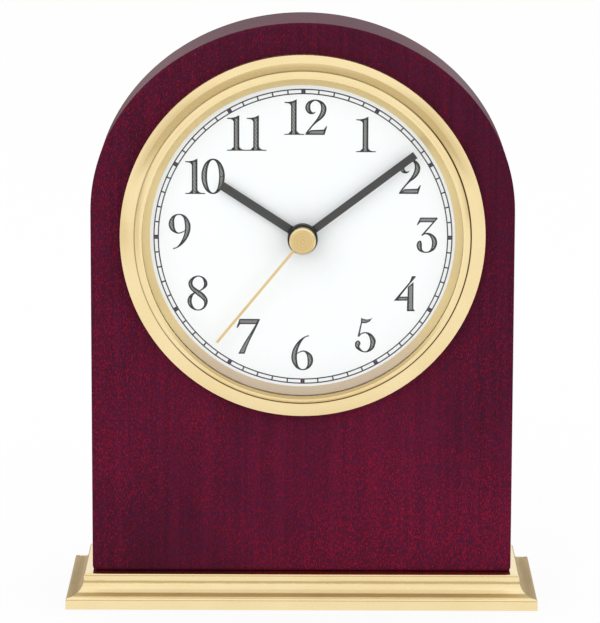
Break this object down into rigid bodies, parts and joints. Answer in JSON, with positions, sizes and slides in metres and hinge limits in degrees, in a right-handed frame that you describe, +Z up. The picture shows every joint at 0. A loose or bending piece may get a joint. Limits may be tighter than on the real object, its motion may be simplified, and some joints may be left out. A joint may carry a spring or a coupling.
{
  "type": "desk clock",
  "caption": "Arched wooden desk clock on a moulded brass plinth, with a brass bezel, convex glass, white dial, baton hands and a battery quartz movement.",
  "frame": {"origin": "middle of the foot, on the underside of the felt", "axes": "+Z up, -Y out of the dial towards the reader, +X to the right of the dial"},
  "size_m": [0.1328, 0.0527, 0.165],
  "materials": {
    "mahogany": "gloss lacquer",
    "polished_brass": "polished",
    "felt": "felt",
    "steel": "plain",
    "lens_glass": "clear",
    "black_rubber": "matte",
    "dial_white": "satin white",
    "hand_grey": "satin",
    "black_plastic": "fine texture",
    "gear_plastic": "moulded",
    "magnet": "sintered",
    "copper_wire": "enamelled",
    "board_green": "solder mask",
    "cell_jacket": "satin"
  },
  "bodies": {
    "clock_body": {"wood_case": "mahogany", "brass_base": "polished_brass", "base_felt": "felt", "base_screws": "steel", "bezel_ring": "polished_brass", "lens_gasket": "black_rubber", "lens": "lens_glass", "reflector_ring": "polished_brass", "dial_plate": "dial_white", "insert_cup": "steel", "grip_ring": "black_rubber", "insert_screws": "steel", "clamp_washer": "steel", "clamp_nut": "polished_brass", "movement_front_case": "black_plastic", "movement_rear_case": "black_plastic", "train_bridge": "black_plastic", "stator": "steel", "coil_core": "steel", "coil_bobbin": "black_plastic", "coil_winding": "copper_wire", "circuit_board": "board_green", "timer_chip": "black_plastic", "quartz_crystal": "steel", "battery": "cell_jacket", "plus_contact": "steel", "minus_contact": "steel", "rear_cover": "black_plastic", "cover_screws": "steel"},
    "seconds_work": {"seconds_wheel": "gear_plastic", "second_hand": "polished_brass", "second_cap": "polished_brass"},
    "minute_work": {"minute_wheel": "gear_plastic", "minute_hand": "hand_grey"},
    "hour_work": {"hour_wheel": "gear_plastic", "hour_hand": "hand_grey"},
    "third_work": {"third_wheel": "gear_plastic"},
    "motion_work": {"motion_wheel": "gear_plastic"},
    "intermediate_work": {"intermediate_wheel": "gear_plastic"},
    "rotor": {"rotor_pinion": "gear_plastic", "rotor_magnet": "magnet"},
    "setting_work": {"set_stem": "gear_plastic", "set_knob": "black_plastic"},
    "door": {"battery_door": "black_plastic"}
  },
  "joints": [
    {"name": "seconds_spin", "type": "hinge", "parent": "clock_body", "child": "seconds_work", "pos_m": [0, 0.0019, 0.10545], "axis": [0, 1, 0], "continuous": true},
    {"name": "minute_spin", "type": "hinge", "parent": "clock_body", "child": "minute_work", "pos_m": [0, -0.0015, 0.10545], "axis": [0, 1, 0], "continuous": true},
    {"name": "hour_spin", "type": "hinge", "parent": "clock_body", "child": "hour_work", "pos_m": [0, -0.0049, 0.10545], "axis": [0, 1, 0], "continuous": true},
    {"name": "third_spin", "type": "hinge", "parent": "clock_body", "child": "third_work", "pos_m": [0.0051, 0.0002, 0.11428], "axis": [0, 1, 0], "continuous": true},
    {"name": "motion_spin", "type": "hinge", "parent": "clock_body", "child": "motion_work", "pos_m": [-0.008, -0.0032, 0.10545], "axis": [0, 1, 0], "continuous": true},
    {"name": "intermediate_spin", "type": "hinge", "parent": "clock_body", "child": "intermediate_work", "pos_m": [0.00744, 0.0036, 0.10274], "axis": [0, 1, 0], "continuous": true},
    {"name": "rotor_spin", "type": "hinge", "parent": "clock_body", "child": "rotor", "pos_m": [0.0135, 0.0048, 0.10624], "axis": [0, 1, 0], "continuous": true},
    {"name": "setting_spin", "type": "hinge", "parent": "clock_body", "child": "setting_work", "pos_m": [-0.01348, 0.0105, 0.11093], "axis": [0, 1, 0], "continuous": true},
    {"name": "battery_door_hinge", "type": "hinge", "parent": "clock_body", "child": "door", "pos_m": [0, 0.0099, 0.07975], "axis": [-1, 0, 0], "range_deg": [0, 100]}
  ],
  "couplings": [
    {"joint": "minute_spin", "follows": "seconds_spin", "ratio": 0.016667},
    {"joint": "hour_spin", "follows": "seconds_spin", "ratio": 0.0013889},
    {"joint": "third_spin", "follows": "seconds_spin", "ratio": -0.13333},
    {"joint": "motion_spin", "follows": "seconds_spin", "ratio": -0.0055556},
    {"joint": "intermediate_spin", "follows": "seconds_spin", "ratio": -5},
    {"joint": "rotor_spin", "follows": "seconds_spin", "ratio": 30},
    {"joint": "setting_spin", "follows": "seconds_spin", "ratio": 0.019048}
  ]
}
